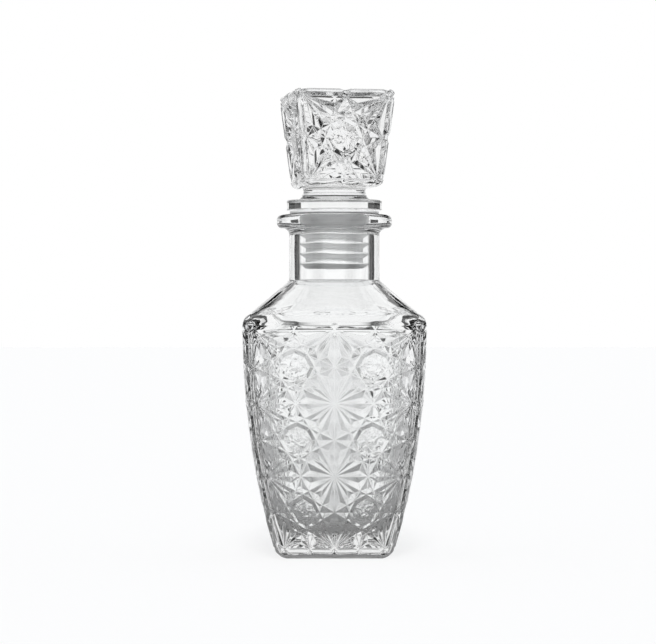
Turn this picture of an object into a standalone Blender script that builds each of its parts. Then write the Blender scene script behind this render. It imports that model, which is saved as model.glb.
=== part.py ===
"""Pressed-glass mini decanter: a square bottle, its stopper and the stopper's sealing sleeve.

Lengths are in metres and +Z is up. The origin is the centre of the bottle's foot, and the front face looks
along -Y. Heights stack up from the foot, so that a change of one moves all that stands on it.
"""

import math

import bmesh
import bpy
from mathutils import Matrix, Vector

MM = 0.001

# Bottle, outside. Each side is a long arc that is upright at the shoulder and draws in towards the foot.
BODY_HALF_WIDTH = 26.3 * MM
BODY_ARC_RADIUS = 236.0 * MM
BODY_CORNER_RADIUS = 3.3 * MM
FOOT_EDGE_RADIUS = 3.4 * MM
FOOT_RING_WIDTH = 3.2 * MM
FOOT_RECESS_DEPTH = 0.7 * MM
SHOULDER_EDGE_RADIUS = 4.2 * MM
SHOULDER_RISE = 11.2 * MM
SHOULDER_ROUNDING = 2.2
NECK_RADIUS = 13.2 * MM
NECK_LENGTH = 15.2 * MM
LIP_OVERHANG = 3.6 * MM
LIP_THICKNESS = 3.9 * MM
LIP_EDGE_RADIUS = 1.4 * MM
LIP_FILLET = 2.0 * MM

# Bottle, inside.
NECK_WALL = 2.8 * MM
BODY_WALL = 3.2 * MM
FLOOR_THICKNESS = 7.5 * MM
INNER_CORNER_RADIUS = 5.0 * MM
INNER_FLOOR_RADIUS = 4.0 * MM
INNER_SHOULDER_RADIUS = 3.0 * MM
MOUTH_CHAMFER = 0.6 * MM

# Pressed pattern on the bottle's four sides: square cells with a star at each corner and an eight-sided
# button in the middle.
CELLS_ACROSS = 2
CELLS_UP = 3
PATTERN_FOOT = 3.3 * MM
PATTERN_HEIGHT = 62.3 * MM
PATTERN_DEPTH = 0.75 * MM
PATTERN_BORDER = 1.3 * MM

# Proportions of the pattern, as shares of a cell. A groove this wide fills the thin triangles of a star right
# to their tops. The short groove that ends inside each kite has a steep end.
GROOVE_HALF_SHARE = 0.0854
BUTTON_EDGE_SHARE = 0.05
SHORT_GROOVE_SHARE = 0.19
SHORT_GROOVE_RISE = 0.12
NOTCH_HALF_SHARE = 0.062
NOTCH_DEPTH_SHARE = 0.55
RIM_DEPTH_SHARE = 0.5

# Stopper. Its head carries one cell of the same pattern on each side and on its top. It stands a little
# turned and a little beside the shank's axis, as pressed pieces do.
HEAD_HEIGHT = 28.0 * MM
HEAD_FOOT_HALF_WIDTH = 11.8 * MM
HEAD_TOP_HALF_WIDTH = 15.1 * MM
HEAD_CORNER_RADIUS = 2.4 * MM
HEAD_PATTERN_DEPTH = 1.1 * MM
HEAD_BORDER = 1.0 * MM
HEAD_FOOT_RADIUS = 1.8 * MM
HEAD_TURN = math.radians(10.5)
HEAD_OFFSET = 0.7 * MM
STEM_RADIUS = 9.2 * MM
STEM_LENGTH = 3.8 * MM
STEM_FILLET = 1.8 * MM
DISC_RADIUS = 13.9 * MM
DISC_THICKNESS = 2.8 * MM
DISC_EDGE_RADIUS = 0.3 * MM
PLUG_RADIUS = 6.8 * MM
PLUG_END_RADIUS = 1.0 * MM
PLUG_SHORT_OF_SLEEVE = 1.0 * MM

# Sealing sleeve: a thin tube with a flange over the mouth and soft fins that lean up against the bore.
SLEEVE_WALL = 1.3 * MM
SLEEVE_DEPTH = 15.6 * MM
SLEEVE_FLANGE_RADIUS = 13.0 * MM
SLEEVE_FLANGE_THICKNESS = 0.8 * MM
FIN_COUNT = 5
FIN_PITCH = 2.9 * MM
FIN_THICKNESS = 0.55 * MM
FIN_LIFT = 1.1 * MM

# Space between pieces that touch, and between a fin and the bore.
FIT_GAP = 0.3 * MM

# Facets.
CORNER_STEPS = 5
ARC_STEPS = 3
SHOULDER_STEPS = 3
TURNED_STEPS = 48
INNER_FLAT_STEPS = 7
INNER_CORNER_STEPS = 8
CUTTER_OVERSHOOT = 2.0 * MM
WELD = 1e-7
EDGE_REACH = 1e-4

# Heights and radii that follow from the sizes.
PATTERN_TOP = PATTERN_FOOT + PATTERN_HEIGHT
SHOULDER_FOOT = PATTERN_TOP + PATTERN_BORDER
SHOULDER_TURN = math.atan2(BODY_HALF_WIDTH - NECK_RADIUS, SHOULDER_RISE)
SHOULDER_CORNER = SHOULDER_FOOT + SHOULDER_EDGE_RADIUS * math.tan(SHOULDER_TURN / 2)
NECK_FOOT = SHOULDER_CORNER + SHOULDER_RISE
LIP_FOOT = NECK_FOOT + NECK_LENGTH
MOUTH = LIP_FOOT + LIP_THICKNESS
LIP_RADIUS = NECK_RADIUS + LIP_OVERHANG
BORE_RADIUS = NECK_RADIUS - NECK_WALL
SLEEVE_BORE = PLUG_RADIUS + FIT_GAP
SLEEVE_RADIUS = SLEEVE_BORE + SLEEVE_WALL
SLEEVE_FOOT = MOUTH - SLEEVE_DEPTH
FLANGE_FOOT = MOUTH + FIT_GAP
FLANGE_TOP = FLANGE_FOOT + SLEEVE_FLANGE_THICKNESS
FIN_RADIUS = BORE_RADIUS * math.cos(math.pi / TURNED_STEPS) - FIT_GAP
DISC_FOOT = FLANGE_TOP + FIT_GAP
DISC_TOP = DISC_FOOT + DISC_THICKNESS
HEAD_FOOT = DISC_TOP + STEM_LENGTH
HEAD_TOP = HEAD_FOOT + HEAD_HEIGHT
PLUG_FOOT = SLEEVE_FOOT + PLUG_SHORT_OF_SLEEVE


def clear_scene():
    """Removes whatever the file opens with."""
    for item in list(bpy.data.objects):
        bpy.data.objects.remove(item, do_unlink=True)


def collection_named(name):
    """A collection in the scene that the parts or the cutters go in."""
    made = bpy.data.collections.new(name)
    bpy.context.scene.collection.children.link(made)
    return made


def surface_material(name, colour, roughness, transmission, index):
    """A Principled material with one plain colour."""
    made = bpy.data.materials.new(name)
    made.use_nodes = True
    shader = made.node_tree.nodes["Principled BSDF"]
    shader.inputs["Base Color"].default_value = (*colour, 1.0)
    shader.inputs["Roughness"].default_value = roughness
    shader.inputs["Metallic"].default_value = 0.0
    shader.inputs["Transmission Weight"].default_value = transmission
    shader.inputs["IOR"].default_value = index
    return made


def object_from(bm, name, collection):
    """Turns a bmesh into a linked object and frees the bmesh."""
    mesh = bpy.data.meshes.new(name)
    bm.to_mesh(mesh)
    bm.free()
    made = bpy.data.objects.new(name, mesh)
    collection.objects.link(made)
    return made


def finish_part(part, material, sharp_angle):
    """Gives a part its material and smooth shading with crisp edges."""
    part.data.materials.append(material)
    part.data.shade_smooth()
    part.data.set_sharp_from_angle(angle=sharp_angle)


def make_cutter(tool):
    """Marks an object as a tool for Booleans and not as a part."""
    tool.hide_render = True
    tool.display_type = "WIRE"


def boolean(part, tool, operation):
    """Joins a tool to a part or cuts it out, and leaves the modifier live."""
    modifier = part.modifiers.new(f"{operation.lower()} {tool.name}", "BOOLEAN")
    modifier.operation = operation
    modifier.solver = "EXACT"
    modifier.object = tool


def rounded_path(corners, steps):
    """Points of a path whose corners, given as (position, height, radius), are rounded by arcs."""
    points = []
    for index, (across, height, radius) in enumerate(corners):
        here = Vector((across, height))
        if radius <= 0.0 or index in (0, len(corners) - 1):
            points.append(here)
            continue
        back = (Vector(corners[index - 1][:2]) - here).normalized()
        onward = (Vector(corners[index + 1][:2]) - here).normalized()
        half_angle = back.angle(onward) / 2
        centre = here + (back + onward).normalized() * (radius / math.sin(half_angle))
        start = here + back * (radius / math.tan(half_angle)) - centre
        end = here + onward * (radius / math.tan(half_angle)) - centre
        swing = start.angle_signed(end)
        for step in range(steps + 1):
            turn = Matrix.Rotation(-swing * step / steps, 2)
            points.append(centre + turn @ start)
    return points


def turned(name, path, closed, collection):
    """An object turned about Z from a path of (radius, height) points by a Screw modifier."""
    bm = bmesh.new()
    verts = [bm.verts.new((point.x, 0.0, point.y)) for point in path]
    for first, second in zip(verts, verts[1:], strict=False):
        bm.edges.new((first, second))
    if closed:
        bm.edges.new((verts[-1], verts[0]))
    made = object_from(bm, name, collection)
    screw = made.modifiers.new("turn", "SCREW")
    screw.axis = "Z"
    screw.angle = math.tau
    screw.steps = TURNED_STEPS
    screw.render_steps = TURNED_STEPS
    screw.use_merge_vertices = True
    screw.merge_threshold = WELD * 10
    screw.use_smooth_shade = True
    return made


def inscribed_circle(corners):
    """Centre and radius of the circle that touches a polygon's sides, from two of its corners' bisectors."""
    first, second, third, last = corners[0], corners[1], corners[2], corners[-1]
    side = (second - first).normalized()
    bisector = (side + (last - first).normalized()).normalized()
    other = ((first - second).normalized() + (third - second).normalized()).normalized()
    gap = second - first
    reach = (gap.x * other.y - gap.y * other.x) / (bisector.x * other.y - bisector.y * other.x)
    centre = first + bisector * reach
    offset = centre - first
    return centre, abs(offset.x * side.y - offset.y * side.x)


def score(bm, point, slope_x, slope_y):
    """Scores a straight groove line across the whole flat sheet."""
    everything = bm.verts[:] + bm.edges[:] + bm.faces[:]
    bmesh.ops.bisect_plane(
        bm, geom=everything, dist=1e-5, plane_co=point, plane_no=(slope_y, -slope_x, 0.0)
    )


def is_star(vert):
    """Whether a crossing of the sheet is the centre of a star, which is a corner of a cell."""
    return (vert.co.xy - Vector((round(vert.co.x), round(vert.co.y)))).length < 1e-3


def raise_peak(bm, face, centre, height):
    """Makes a face into facets that meet in one peak."""
    peak = bmesh.ops.poke(bm, faces=[face])["verts"][0]
    peak.co = (centre.x, centre.y, height)


def raise_star_kite(bm, face, star):
    """Cuts the short groove that runs from a star into a kite, and raises a peak on each side of it."""
    corners = [vert.co.xy for vert in face.verts]
    top, _ = inscribed_circle(corners)
    ordered = face.verts[:]
    start = ordered.index(star)
    far = ordered[(start + 2) % len(ordered)]
    halves = []
    for side in (ordered[(start + 1) % len(ordered)], ordered[start - 1]):
        halves.append(inscribed_circle([star.co.xy, side.co.xy, far.co.xy]))
    bmesh.utils.face_split(face, star, far)
    diagonal = bm.edges.get((star, far))
    rest, tip = bmesh.utils.edge_split(diagonal, star, 0.5)
    upper = rest if far in rest.verts else bm.edges.get((tip, far))
    _, crown = bmesh.utils.edge_split(upper, tip, 0.5)
    along = (far.co.xy - star.co.xy).normalized()
    groove_end = star.co.xy + along * (SHORT_GROOVE_SHARE * math.sqrt(2.0))
    tip.co = (groove_end.x, groove_end.y, SHORT_GROOVE_RISE)
    crown.co = (top.x, top.y, 1.0)
    for half in list(tip.link_faces):
        middle = half.calc_center_median().xy
        centre, radius = min(halves, key=lambda circle: (circle[0] - middle).length)
        raise_peak(bm, half, centre, min(1.0, radius / GROOVE_HALF_SHARE))


def star_sheet(across, up):
    """The pattern on a flat sheet of across by up cells, with heights from 0 in a groove to 1 on the surface.

    Grooves run along the cells' sides and through each star at slopes of a half and two. Where they leave a
    field between them it rises to a peak, and the field in the middle of a cell is a flat button.
    """
    bm = bmesh.new()
    bmesh.ops.create_grid(bm, x_segments=across, y_segments=up, size=0.5)
    bmesh.ops.scale(bm, vec=(across, up, 1.0), verts=bm.verts)
    bmesh.ops.translate(bm, vec=(across / 2, up / 2, 0.0), verts=bm.verts)
    for half_step in range(-across, 2 * up + across + 1):
        score(bm, (0.0, half_step / 2, 0.0), 2.0, 1.0)
        score(bm, (0.0, half_step / 2, 0.0), 2.0, -1.0)
    for half_step in range(-up, 2 * across + up + 1):
        score(bm, (half_step / 2, 0.0, 0.0), 1.0, 2.0)
        score(bm, (half_step / 2, 0.0, 0.0), -1.0, 2.0)
    for face in list(bm.faces):
        if len(face.verts) > 4:
            bmesh.ops.inset_individual(
                bm, faces=[face], thickness=BUTTON_EDGE_SHARE, depth=1.0, use_even_offset=True
            )
            continue
        stars = [vert for vert in face.verts if is_star(vert)]
        if len(face.verts) == 4 and stars:
            raise_star_kite(bm, face, stars[0])
            continue
        centre, radius = inscribed_circle([vert.co.xy for vert in face.verts])
        raise_peak(bm, face, centre, min(1.0, radius / GROOVE_HALF_SHARE))
    return bm


def corner_angles(radius, border):
    """Angles of a rounded corner's columns, from where the first groove's outer side comes up on to it."""
    first = math.asin(min(border / radius, 0.6))
    spread = math.pi / 2 - 2 * first
    return [first + spread * step / (CORNER_STEPS - 1) for step in range(CORNER_STEPS)]


class Block:
    """A square block with rounded corners whose sides carry the pattern."""

    def __init__(self, half_at, radius_at, across, up, foot, top, depth, border):
        self.half_at = half_at
        self.radius_at = radius_at
        self.across = across
        self.up = up
        self.foot = foot
        self.top = top
        self.depth = depth
        self.rim = depth * RIM_DEPTH_SHARE
        self.border = border
        self.angles = corner_angles(radius_at(top), border)
        self.bm = bmesh.new()

    def height(self, row):
        """Height of a row of the pattern, counted in cells."""
        return self.foot + (self.top - self.foot) * row / self.up

    def sunk(self, vert):
        """How deep a point of the flat sheet lies. The groove along the sheet's edges is shallower."""
        inside = min(vert.co.x, self.across - vert.co.x, vert.co.y, self.up - vert.co.y)
        return (1.0 - vert.co.z) * (self.depth if inside > EDGE_REACH else self.rim)

    def flat(self, quarter, column, z, depth):
        """A point of a side's flat, with its column counted in cells from its left corner."""
        half = self.half_at(z)
        reach = half - self.radius_at(z)
        x = (2 * column / self.across - 1.0) * reach
        return Matrix.Rotation(quarter * math.pi / 2, 3, "Z") @ Vector((x, depth - half, z))

    def corner(self, quarter, angle, z, depth):
        """A point of the rounded corner that follows a side's right end."""
        radius = self.radius_at(z)
        reach = self.half_at(z) - radius
        x = reach + (radius - depth) * math.sin(angle)
        y = -reach - (radius - depth) * math.cos(angle)
        return Matrix.Rotation(quarter * math.pi / 2, 3, "Z") @ Vector((x, y, z))

    def notched(self, cells):
        """Positions at each half cell and just beside it, with whether a groove runs out there."""
        made = []
        for half_step in range(2 * cells + 1):
            here = half_step / 2
            if half_step > 0:
                made.append((here - NOTCH_HALF_SHARE, False))
            made.append((here, True))
            if half_step < 2 * cells:
                made.append((here + NOTCH_HALF_SHARE, False))
        return made

    def ring(self, z, notches):
        """All points round the block at one height. With notches, the grooves run out on to this ring."""
        points = []
        for quarter in range(4):
            for column, groove in self.notched(self.across):
                depth = self.depth * NOTCH_DEPTH_SHARE if groove and notches else 0.0
                points.append(self.flat(quarter, column, z, depth))
            for angle in self.angles:
                points.append(self.corner(quarter, angle, z, 0.0))
        return points

    def face(self, points):
        """Adds one face."""
        self.bm.faces.new([self.bm.verts.new(point) for point in points])

    def strip(self, low, high):
        """Adds the faces between two rings of points."""
        count = len(low)
        for index in range(count):
            after = (index + 1) % count
            self.face((low[index], low[after], high[after], high[index]))

    def panels(self):
        """Lays the flat pattern on the four sides."""
        sheet = star_sheet(self.across, self.up)
        for quarter in range(4):
            for facet in sheet.faces:
                points = []
                for vert in facet.verts:
                    depth = self.sunk(vert)
                    points.append(self.flat(quarter, vert.co.x, self.height(vert.co.y), depth))
                self.face(points)
        sheet.free()

    def edge_strip(self, valley, crest):
        """Joins the groove along a panel's edge to the notched line beside it, half a cell at a time."""
        for step in range(len(valley) - 1):
            low, high = 3 * step, 3 * step + 3
            self.face((valley[step], crest[low], crest[low + 1]))
            self.face((valley[step], crest[low + 1], crest[high - 1], valley[step + 1]))
            self.face((valley[step + 1], crest[high - 1], crest[high]))

    def corner_bands(self):
        """Fills the rounded corners beside the panels, with the grooves running out on to them."""
        rows = self.notched(self.up)
        for quarter in range(4):
            lines = []
            for number, angle in enumerate(self.angles):
                outer = number in (0, len(self.angles) - 1)
                line = []
                for row, groove in rows:
                    depth = self.depth * NOTCH_DEPTH_SHARE if groove and outer else 0.0
                    line.append(self.corner(quarter, angle, self.height(row), depth))
                lines.append(line)
            for left, right in zip(lines, lines[1:], strict=False):
                for index in range(len(rows) - 1):
                    self.face((left[index], right[index], right[index + 1], left[index + 1]))
            valleys = []
            for side, column in ((quarter, self.across), (quarter + 1, 0)):
                valley = []
                for half_step in range(2 * self.up + 1):
                    valley.append(self.flat(side, column, self.height(half_step / 2), self.rim))
                valleys.append(valley)
            self.edge_strip(valleys[0], lines[0])
            self.edge_strip(valleys[1], lines[-1])

    def border_ring(self, row, z):
        """Joins the panels' foot or top groove, at a row, to the ring beside it, and returns that ring."""
        ring = self.ring(z, True)
        flats = len(self.notched(self.across))
        per_quarter = flats + len(self.angles)
        level = self.height(row)
        notch = self.depth * NOTCH_DEPTH_SHARE
        for quarter in range(4):
            start = quarter * per_quarter
            valley = []
            for half_step in range(2 * self.across + 1):
                valley.append(self.flat(quarter, half_step / 2, level, self.rim))
            self.edge_strip(valley, ring[start : start + flats])
            inner = [valley[-1]]
            for number, angle in enumerate(self.angles):
                outer = number in (0, len(self.angles) - 1)
                inner.append(self.corner(quarter, angle, level, notch if outer else 0.0))
            inner.append(self.flat(quarter + 1, 0.0, level, self.rim))
            around = [ring[(start + flats - 1 + step) % len(ring)] for step in range(len(inner))]
            for step in range(len(inner) - 1):
                self.face((inner[step], inner[step + 1], around[step + 1], around[step]))
        return ring

    def cap(self, ring):
        """Closes the block across a ring."""
        self.face(ring)

    def weld(self):
        """Welds what the strips share and turns all faces outwards."""
        bmesh.ops.remove_doubles(self.bm, verts=self.bm.verts, dist=WELD)
        bmesh.ops.dissolve_degenerate(self.bm, edges=self.bm.edges, dist=WELD)
        bmesh.ops.recalc_face_normals(self.bm, faces=self.bm.faces)
        return self.bm


def foot_inset(z, radius):
    """How far a rounded foot edge draws in at a height above the foot."""
    if z >= radius:
        return 0.0
    return radius - math.sqrt(radius * radius - (radius - max(z, 0.0)) ** 2)


def arc_half_width(z):
    """Half the body's width where its long arc stands at a height."""
    below = max(SHOULDER_FOOT - z, 0.0)
    return BODY_HALF_WIDTH - BODY_ARC_RADIUS + math.sqrt(BODY_ARC_RADIUS**2 - below**2)


def body_half_width(z):
    """Half the body's width with its rounded foot."""
    return arc_half_width(z) - foot_inset(z, FOOT_EDGE_RADIUS)


def body_corner_radius(z):
    """Radius of the body's corners, which draw in with the foot's rounded edge."""
    return max(BODY_CORNER_RADIUS - foot_inset(z, FOOT_EDGE_RADIUS), BODY_CORNER_RADIUS / 6)


def circle(radius, z, count, first_angle):
    """Evenly spaced points of a circle about Z."""
    points = []
    for index in range(count):
        angle = first_angle + math.tau * index / count
        points.append(Vector((radius * math.cos(angle), radius * math.sin(angle), z)))
    return points


def blend_ring(ring, target, share, z, rounding=1.0):
    """A ring part of the way from a square section to a round one, which may round off ahead of its width."""
    half = max(point.x for point in ring)
    radius = target[0].xy.length
    width = half + (radius - half) * share
    roundness = 1.0 - max(1.0 - share, 0.0) ** rounding
    points = []
    for here, there in zip(ring, target, strict=True):
        mixed = (here * (width / half)).lerp(there * (width / radius), roundness)
        points.append(Vector((mixed.x, mixed.y, z)))
    return points


def rounded_square(half, radius, z, flat_steps, arc_steps):
    """Points of a square with rounded corners, from the left end of its front side."""
    reach = half - radius
    points = []
    for quarter in range(4):
        turn = Matrix.Rotation(quarter * math.pi / 2, 3, "Z")
        for step in range(flat_steps):
            points.append(turn @ Vector((-reach + 2 * reach * step / flat_steps, -half, z)))
        for step in range(arc_steps):
            angle = math.pi / 2 * step / arc_steps
            x = reach + radius * math.sin(angle)
            y = -reach - radius * math.cos(angle)
            points.append(turn @ Vector((x, y, z)))
    return points


def make_body():
    """The bottle's body up to inside the neck: panels, corners, foot and shoulder."""
    body = Block(
        body_half_width,
        body_corner_radius,
        CELLS_ACROSS,
        CELLS_UP,
        PATTERN_FOOT,
        PATTERN_TOP,
        PATTERN_DEPTH,
        PATTERN_BORDER,
    )
    body.panels()
    body.corner_bands()

    # Foot: its rounded edge, the ring that it rests on and the shallow recess inside that.
    below = body.border_ring(0, PATTERN_FOOT - PATTERN_BORDER)
    start = math.acos(1.0 - min((PATTERN_FOOT - PATTERN_BORDER) / FOOT_EDGE_RADIUS, 1.0))
    for step in range(ARC_STEPS - 1, -1, -1):
        level = FOOT_EDGE_RADIUS * (1.0 - math.cos(start * step / ARC_STEPS))
        ring = body.ring(level, False)
        body.strip(ring, below)
        below = ring
    rest_half = body_half_width(0.0) - FOOT_RING_WIDTH
    slope_half = rest_half - FOOT_RECESS_DEPTH
    for half, level in ((rest_half, 0.0), (slope_half, FOOT_RECESS_DEPTH)):
        share = half / body_half_width(0.0)
        ring = [Vector((point.x * share, point.y * share, level)) for point in below]
        body.strip(ring, below)
        below = ring
    body.cap(below)

    # Shoulder: a loft from the square section to the round one, rounded where it leaves the sides.
    above = body.border_ring(CELLS_UP, SHOULDER_FOOT)
    square = body.ring(SHOULDER_FOOT, False)
    flats = len(body.notched(CELLS_ACROSS))
    first_angle = -math.pi / 2 - math.tau / len(square) * (flats - 1) / 2
    sunk = NECK_WALL / 2
    end_radius = NECK_RADIUS - sunk
    end_height = NECK_FOOT + sunk * SHOULDER_RISE / (BODY_HALF_WIDTH - NECK_RADIUS)
    section = circle(end_radius, end_height, len(square), first_angle)
    path = rounded_path(
        [
            (BODY_HALF_WIDTH, SHOULDER_FOOT - PATTERN_BORDER, 0.0),
            (BODY_HALF_WIDTH, SHOULDER_CORNER, SHOULDER_EDGE_RADIUS),
            (end_radius, end_height, 0.0),
        ],
        SHOULDER_STEPS,
    )
    shoulder = path[2:]
    last_arc, end = path[-2], path[-1]
    for step in (1, 2):
        shoulder.insert(-1, last_arc.lerp(end, step / 3))
    for point in shoulder:
        share = (BODY_HALF_WIDTH - point.x) / (BODY_HALF_WIDTH - end_radius)
        ring = blend_ring(square, section, share, point.y, SHOULDER_ROUNDING)
        body.strip(above, ring)
        above = ring
    body.cap(above)
    return body.weld()


def make_cavity():
    """The space inside the bottle, as one closed form from its floor to above its mouth."""
    flat_steps = INNER_FLAT_STEPS
    arc_steps = INNER_CORNER_STEPS
    count = 4 * (flat_steps + arc_steps)
    slope = SHOULDER_RISE / (BODY_HALF_WIDTH - NECK_RADIUS)
    widest = BODY_HALF_WIDTH - BODY_WALL
    corner_height = SHOULDER_CORNER - BODY_WALL * math.tan(SHOULDER_TURN / 2)
    throat_height = corner_height + (widest - BORE_RADIUS) * slope
    tangent = INNER_SHOULDER_RADIUS * math.tan(SHOULDER_TURN / 2)
    side_top = corner_height - tangent

    rings = []
    for step in range(ARC_STEPS + 1):
        angle = math.pi / 2 * step / ARC_STEPS
        level = FLOOR_THICKNESS + INNER_FLOOR_RADIUS * (1.0 - math.cos(angle))
        inset = INNER_FLOOR_RADIUS * (1.0 - math.sin(angle))
        half = arc_half_width(level) - BODY_WALL - inset
        radius = max(INNER_CORNER_RADIUS - inset, INNER_CORNER_RADIUS / 5)
        rings.append(rounded_square(half, radius, level, flat_steps, arc_steps))
    foot = FLOOR_THICKNESS + INNER_FLOOR_RADIUS
    side_steps = 2 * ARC_STEPS
    for step in range(1, side_steps + 1):
        level = foot + (side_top - foot) * step / side_steps
        half = arc_half_width(level) - BODY_WALL
        rings.append(rounded_square(half, INNER_CORNER_RADIUS, level, flat_steps, arc_steps))

    square = rings[-1]
    first_angle = -math.pi / 2 - math.tau / count * flat_steps / 2
    section = circle(BORE_RADIUS, throat_height, count, first_angle)
    path = rounded_path(
        [
            (widest, side_top - tangent, 0.0),
            (widest, corner_height, INNER_SHOULDER_RADIUS),
            (BORE_RADIUS, throat_height, INNER_SHOULDER_RADIUS / 2),
            (BORE_RADIUS, MOUTH, 0.0),
        ],
        SHOULDER_STEPS,
    )
    for point in path[2:-1]:
        share = (widest - point.x) / (widest - BORE_RADIUS)
        rings.append(blend_ring(square, section, share, point.y, SHOULDER_ROUNDING))
    for radius, level in (
        (BORE_RADIUS, MOUTH - MOUTH_CHAMFER),
        (BORE_RADIUS + MOUTH_CHAMFER + CUTTER_OVERSHOOT, MOUTH + CUTTER_OVERSHOOT),
    ):
        share = radius / BORE_RADIUS
        rings.append([Vector((point.x * share, point.y * share, level)) for point in section])

    bm = bmesh.new()
    rows = [[bm.verts.new(point) for point in ring] for ring in rings]
    for low, high in zip(rows, rows[1:], strict=False):
        for index in range(count):
            after = (index + 1) % count
            bm.faces.new((low[index], low[after], high[after], high[index]))
    bm.faces.new(rows[0])
    bm.faces.new(rows[-1])
    bmesh.ops.recalc_face_normals(bm, faces=bm.faces)
    return bm


def make_head():
    """The stopper's head: a block that widens upwards, with one cell on each side and one on its top."""

    def half_at(z):
        share = (z - HEAD_FOOT) / HEAD_HEIGHT
        half = HEAD_FOOT_HALF_WIDTH + (HEAD_TOP_HALF_WIDTH - HEAD_FOOT_HALF_WIDTH) * share
        return half - foot_inset(HEAD_TOP - z, HEAD_CORNER_RADIUS) - foot_inset(z - HEAD_FOOT, HEAD_FOOT_RADIUS)

    def radius_at(z):
        drawn_in = foot_inset(HEAD_TOP - z, HEAD_CORNER_RADIUS) + foot_inset(z - HEAD_FOOT, HEAD_FOOT_RADIUS)
        return max(HEAD_CORNER_RADIUS - drawn_in, 0.0)

    top_row = HEAD_TOP - HEAD_CORNER_RADIUS
    foot_row = HEAD_FOOT + HEAD_FOOT_RADIUS + HEAD_BORDER
    head = Block(half_at, radius_at, 1, 1, foot_row, top_row, HEAD_PATTERN_DEPTH, HEAD_BORDER)
    head.panels()
    head.corner_bands()

    # Foot: a small rounded edge round a flat that the stem grows from.
    below = head.border_ring(0, HEAD_FOOT + HEAD_FOOT_RADIUS)
    for step in range(ARC_STEPS - 1, -1, -1):
        level = HEAD_FOOT + HEAD_FOOT_RADIUS * (1.0 - math.cos(math.pi / 2 * step / ARC_STEPS))
        ring = head.ring(level, False)
        head.strip(ring, below)
        below = ring
    head.cap(below)

    # Top: the corners' rounding turned level, then the top's own cell inside a groove along its edges.
    turns = head.angles
    above = head.border_ring(1, top_row + HEAD_CORNER_RADIUS * math.sin(turns[0]))
    for angle in turns[1:]:
        level = top_row + HEAD_CORNER_RADIUS * math.sin(angle)
        ring = head.ring(level, angle == turns[-1])
        if angle == turns[-1]:
            ring = sink_notches(head, ring, level)
        head.strip(above, ring)
        above = ring
    lay_top(head, above)
    bm = head.weld()
    bmesh.ops.translate(bm, vec=(HEAD_OFFSET, 0.0, 0.0), verts=bm.verts)
    return bm


def sink_notches(head, ring, level):
    """The last ring of the top's rounding, where the grooves run out downwards and not inwards."""
    plain = head.ring(level, False)
    notch = head.depth * NOTCH_DEPTH_SHARE
    sunk = []
    for here, base in zip(ring, plain, strict=True):
        if (here - base).length > WELD:
            sunk.append(Vector((base.x, base.y, level - notch)))
        else:
            sunk.append(base)
    return sunk


def lay_top(head, ring):
    """Lays one cell of the pattern on the head's top and joins it to the ring round it."""
    reach = head.half_at(HEAD_TOP - HEAD_CORNER_RADIUS) - HEAD_CORNER_RADIUS
    surface = HEAD_TOP
    sheet = star_sheet(1, 1)
    for facet in sheet.faces:
        points = []
        for vert in facet.verts:
            sunk = head.sunk(vert)
            points.append(Vector(((2 * vert.co.x - 1) * reach, (2 * vert.co.y - 1) * reach, surface - sunk)))
        head.face(points)
    sheet.free()
    flats = len(head.notched(1))
    per_quarter = flats + len(head.angles)
    for quarter in range(4):
        turn = Matrix.Rotation(quarter * math.pi / 2, 3, "Z")
        valley = []
        for half_step in range(3):
            valley.append(turn @ Vector(((half_step - 1) * reach, -reach, surface - head.rim)))
        start = quarter * per_quarter
        head.edge_strip(valley, ring[start : start + flats])
        for step in range(len(head.angles) + 1):
            here = (start + flats - 1 + step) % len(ring)
            after = (here + 1) % len(ring)
            head.face((valley[-1], ring[here], ring[after]))


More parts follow.
